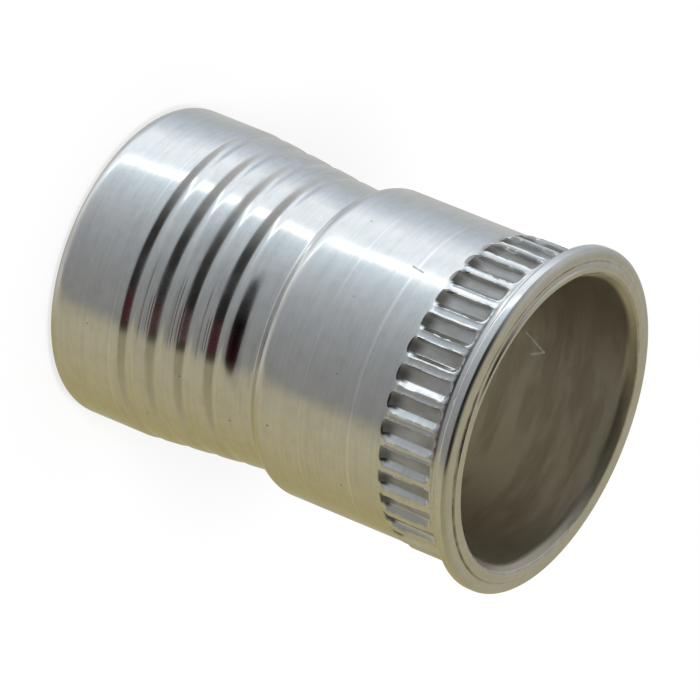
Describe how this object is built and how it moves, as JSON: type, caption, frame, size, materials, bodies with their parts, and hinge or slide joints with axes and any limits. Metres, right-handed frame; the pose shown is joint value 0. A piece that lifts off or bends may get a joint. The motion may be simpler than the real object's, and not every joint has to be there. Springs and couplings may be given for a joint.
{
  "type": "rivet nut",
  "caption": "Open-ended thin-walled rivet nut: low flared head, knurled band under it, plain collapsible tube, and a ringed, swaged-in threaded end.",
  "frame": {"origin": "centre of the thread end's face, the end that it stands on", "axes": "+Z runs along the axis from the thread end to the head; a knurl pocket faces -Y"},
  "size_m": [0.011, 0.011, 0.0152],
  "materials": {
    "plated_steel": "bright plated steel, smooth body with faint turning lines, matt pressed pockets"
  },
  "bodies": {
    "root": {"rivet_nut": "plated_steel"}
  },
  "joints": []
}
